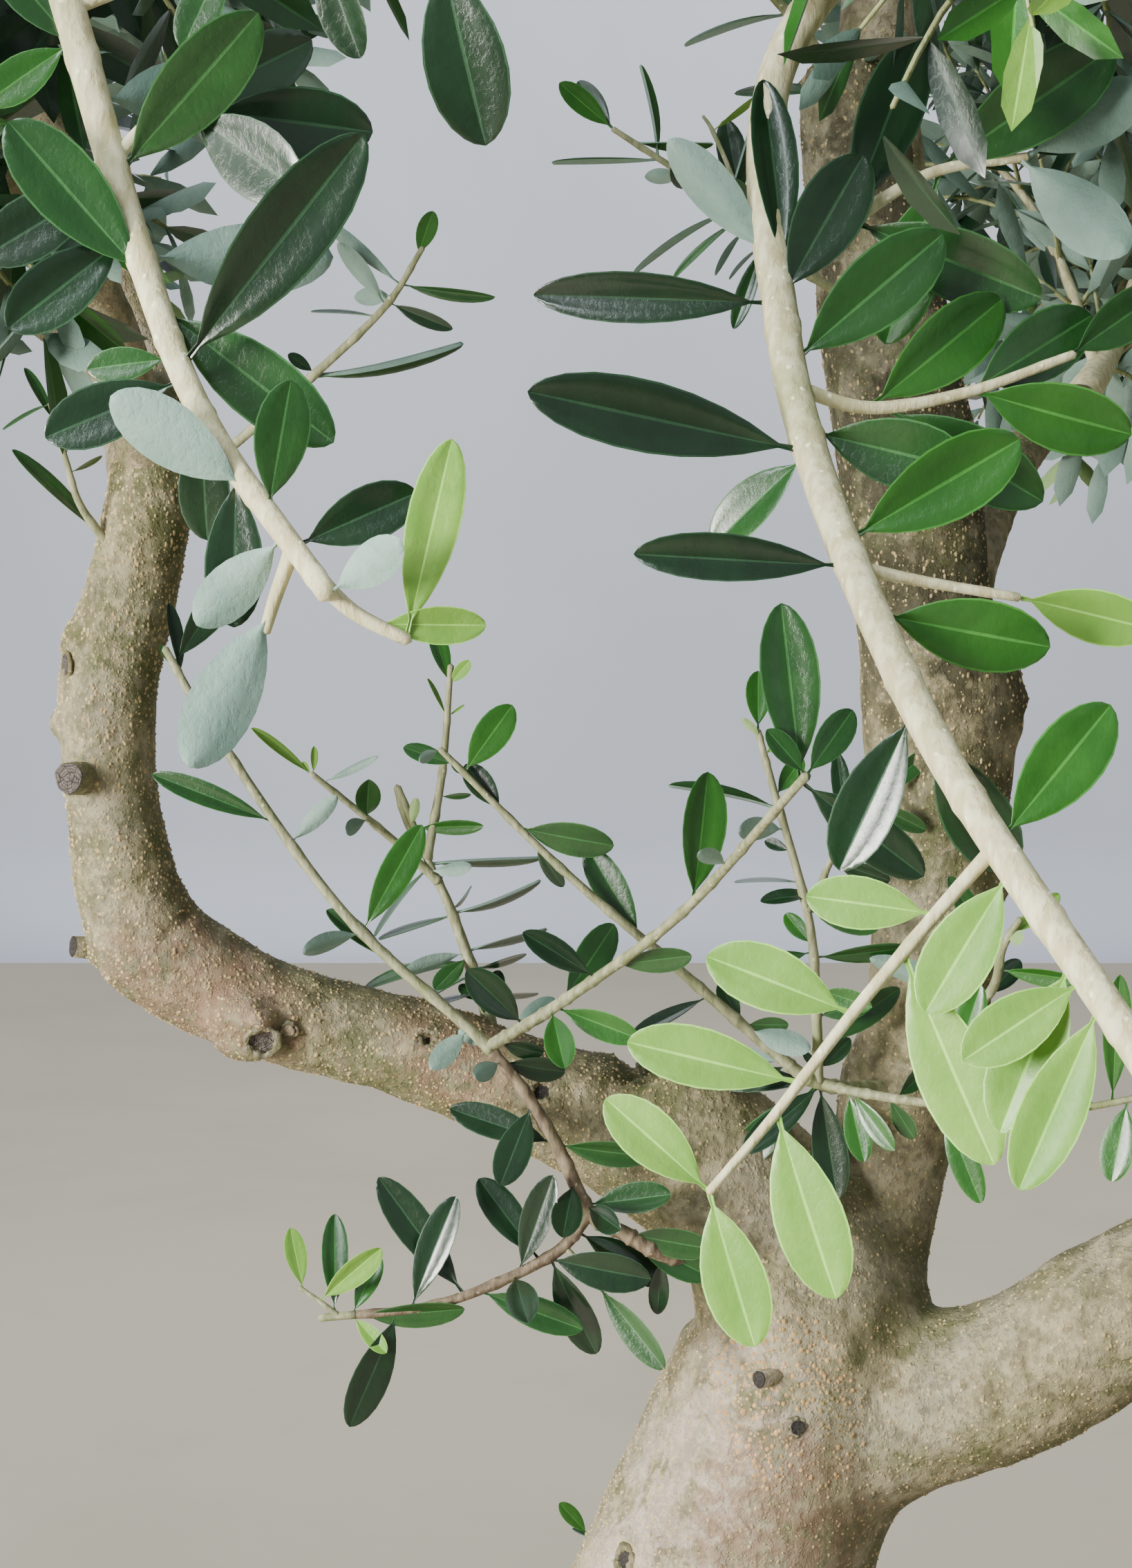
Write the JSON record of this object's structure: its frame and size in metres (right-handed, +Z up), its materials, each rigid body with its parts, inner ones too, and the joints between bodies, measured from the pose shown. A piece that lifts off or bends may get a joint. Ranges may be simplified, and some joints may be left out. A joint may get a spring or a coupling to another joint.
{
  "type": "potted olive tree",
  "caption": "Potted olive tree with a stout leaning trunk, pruned boughs that fork low, thin limbs, an open leafy crown and a plain round clay pot.",
  "frame": {"origin": "centre of the pot's flat underside", "axes": "+Z up along the pot's axis, +X to the right in the picture, -Y towards its viewer"},
  "size_m": [1.4922, 1.1112, 2.0584],
  "materials": {
    "pot": "dry unglazed clay, weathered",
    "soil": "moist bark compost with grit",
    "bark": "smooth grey-beige bark with lenticels",
    "foliage": "leathery olive leaves, glossy above and silvery below",
    "shoots": "young leafy shoots on pale twigs"
  },
  "bodies": {
    "root": {"pot": "pot", "soil": "soil", "trunk": "bark", "left_bough_lower": "bark", "left_bough_upper": "bark", "upright_bough": "bark", "right_bough_lower": "bark", "right_bough_upper": "bark", "left_top_limb": "bark", "left_outer_limb": "bark", "left_front_limb": "bark", "left_back_limb": "bark", "crown_top_limb": "bark", "crown_left_limb": "bark", "crown_front_limb": "bark", "crown_back_limb": "bark", "back_limb": "bark", "right_top_limb": "bark", "right_outer_limb": "bark", "right_front_limb": "bark", "right_back_limb": "bark", "left_top_foliage": "foliage", "left_outer_foliage": "foliage", "left_front_foliage": "foliage", "left_back_foliage": "foliage", "crown_top_foliage": "foliage", "crown_left_foliage": "foliage", "crown_front_foliage": "foliage", "crown_back_foliage": "foliage", "back_foliage": "foliage", "right_top_foliage": "foliage", "right_outer_foliage": "foliage", "right_front_foliage": "foliage", "right_back_foliage": "foliage", "front_shoot": "shoots", "left_bough_shoot": "shoots", "fork_shoot": "shoots", "right_shoot": "shoots", "upper_shoot": "shoots", "stub_shoot": "shoots", "left_inner_shoot": "shoots", "left_side_shoot": "shoots"}
  },
  "joints": []
}
